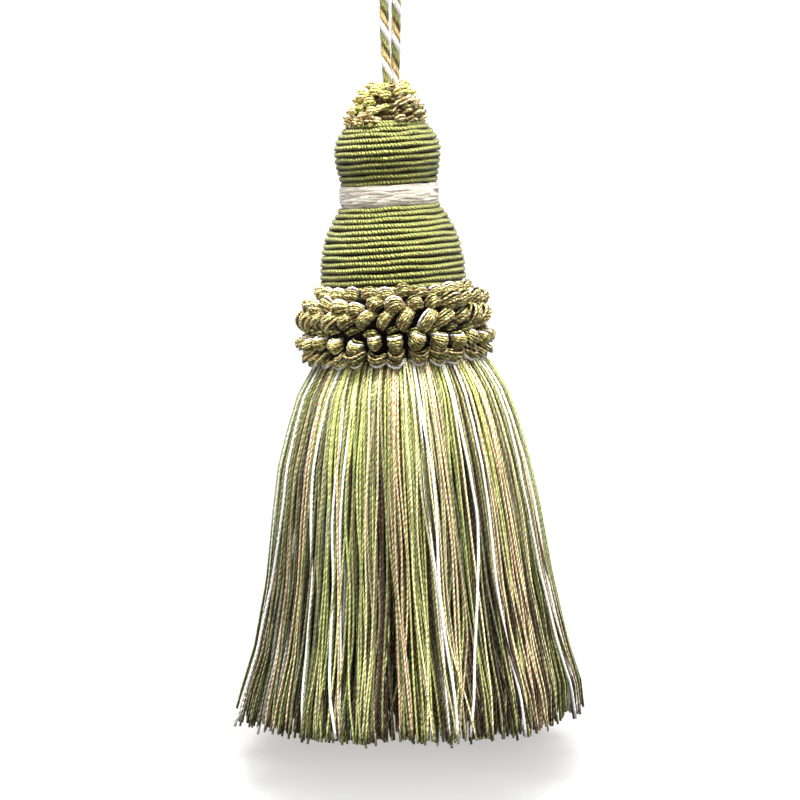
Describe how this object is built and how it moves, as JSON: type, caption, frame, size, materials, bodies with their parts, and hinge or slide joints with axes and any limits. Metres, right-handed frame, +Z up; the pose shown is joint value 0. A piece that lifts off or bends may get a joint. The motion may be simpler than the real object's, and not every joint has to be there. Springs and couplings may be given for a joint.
{
  "type": "silk key tassel",
  "caption": "Hanging silk tassel with a cord loop, wound turned head, satin neck band, knotted ruff and flared cut yarn skirt.",
  "frame": {"origin": "the underside of the cord at the top of the hanging loop, where it bears on what it hangs from", "axes": "+Z up along the hanging tassel, towards the loop; +X to the tassel's right and +Y to its back, seen from its front"},
  "size_m": [0.0756, 0.0756, 0.1942],
  "materials": {
    "cord": "satin three-ply twisted cord, one ply green, one gold, one white",
    "knotted_yarn": "twisted silk yarns knotted in stitches, olive, gold and cream, dark in the gaps",
    "wound_gimp": "fine covered cord wound in close rows, yellow-green with a brown tint",
    "satin_floss": "glossy flat untwisted floss wound round the neck, off-white",
    "skirt_yarn": "lustrous two-ply cut yarns in greens, tan, cream and white"
  },
  "bodies": {
    "root": {"hanging_loop": "cord", "rosette": "knotted_yarn", "head_upper": "wound_gimp", "satin_band": "satin_floss", "head_bell": "wound_gimp", "ruff": "knotted_yarn", "skirt": "skirt_yarn"}
  },
  "joints": []
}
